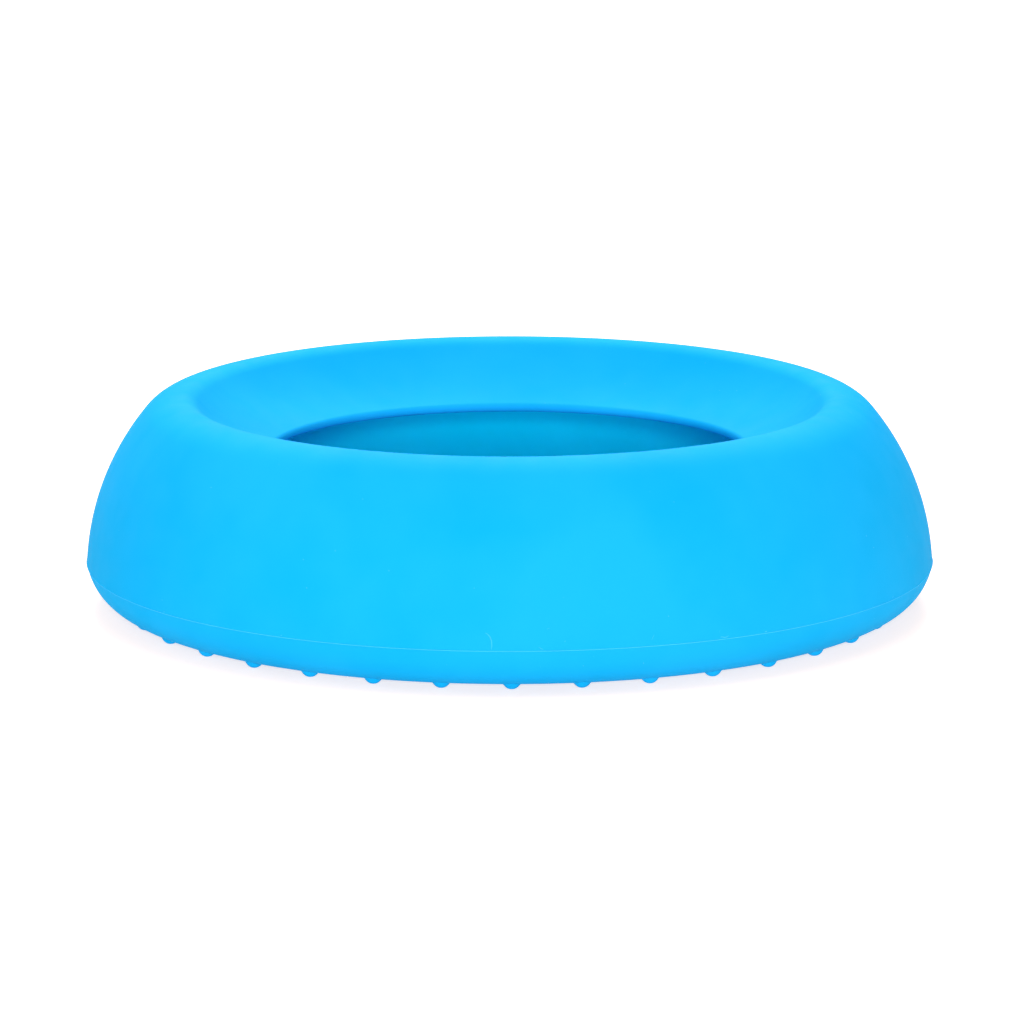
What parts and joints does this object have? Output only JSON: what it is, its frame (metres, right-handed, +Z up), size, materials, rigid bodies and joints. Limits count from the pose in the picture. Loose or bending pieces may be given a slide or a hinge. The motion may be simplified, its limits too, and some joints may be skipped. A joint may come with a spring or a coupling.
{
  "type": "soft travel bowl",
  "caption": "Round low silicone travel bowl with a rolled rim, an inward-sloping anti-splash lip and small anti-slip studs; the rim presses down and the lip flexes.",
  "frame": {"origin": "centre of the bowl on the surface it stands on, at the tips of its studs", "axes": "+Z up along the bowl's axis of symmetry, out of its mouth; the bowl looks the same from every side"},
  "size_m": [0.2164, 0.2164, 0.0539],
  "materials": {
    "silicone": "matte moulded silicone"
  },
  "bodies": {
    "base": {"floor_disc": "silicone", "heel_ring": "silicone", "foot_studs": "silicone", "outer_wall": "silicone"},
    "rim": {"rim_roll": "silicone", "splash_lip": "silicone"},
    "lip_edge": {"lip_bead": "silicone"}
  },
  "joints": [
    {"name": "rim_press", "type": "slide", "parent": "base", "child": "rim", "axis": [0, 0, -1], "range_m": [0, 0.016], "stiffness_N_per_m": 1500, "springref_m": -0.002, "deforming": ["outer_wall"]},
    {"name": "lip_press", "type": "slide", "parent": "rim", "child": "lip_edge", "axis": [0, 0, -1], "range_m": [-0.003, 0.006], "stiffness_N_per_m": 500, "springref_m": -0.0002, "deforming": ["splash_lip"]}
  ]
}
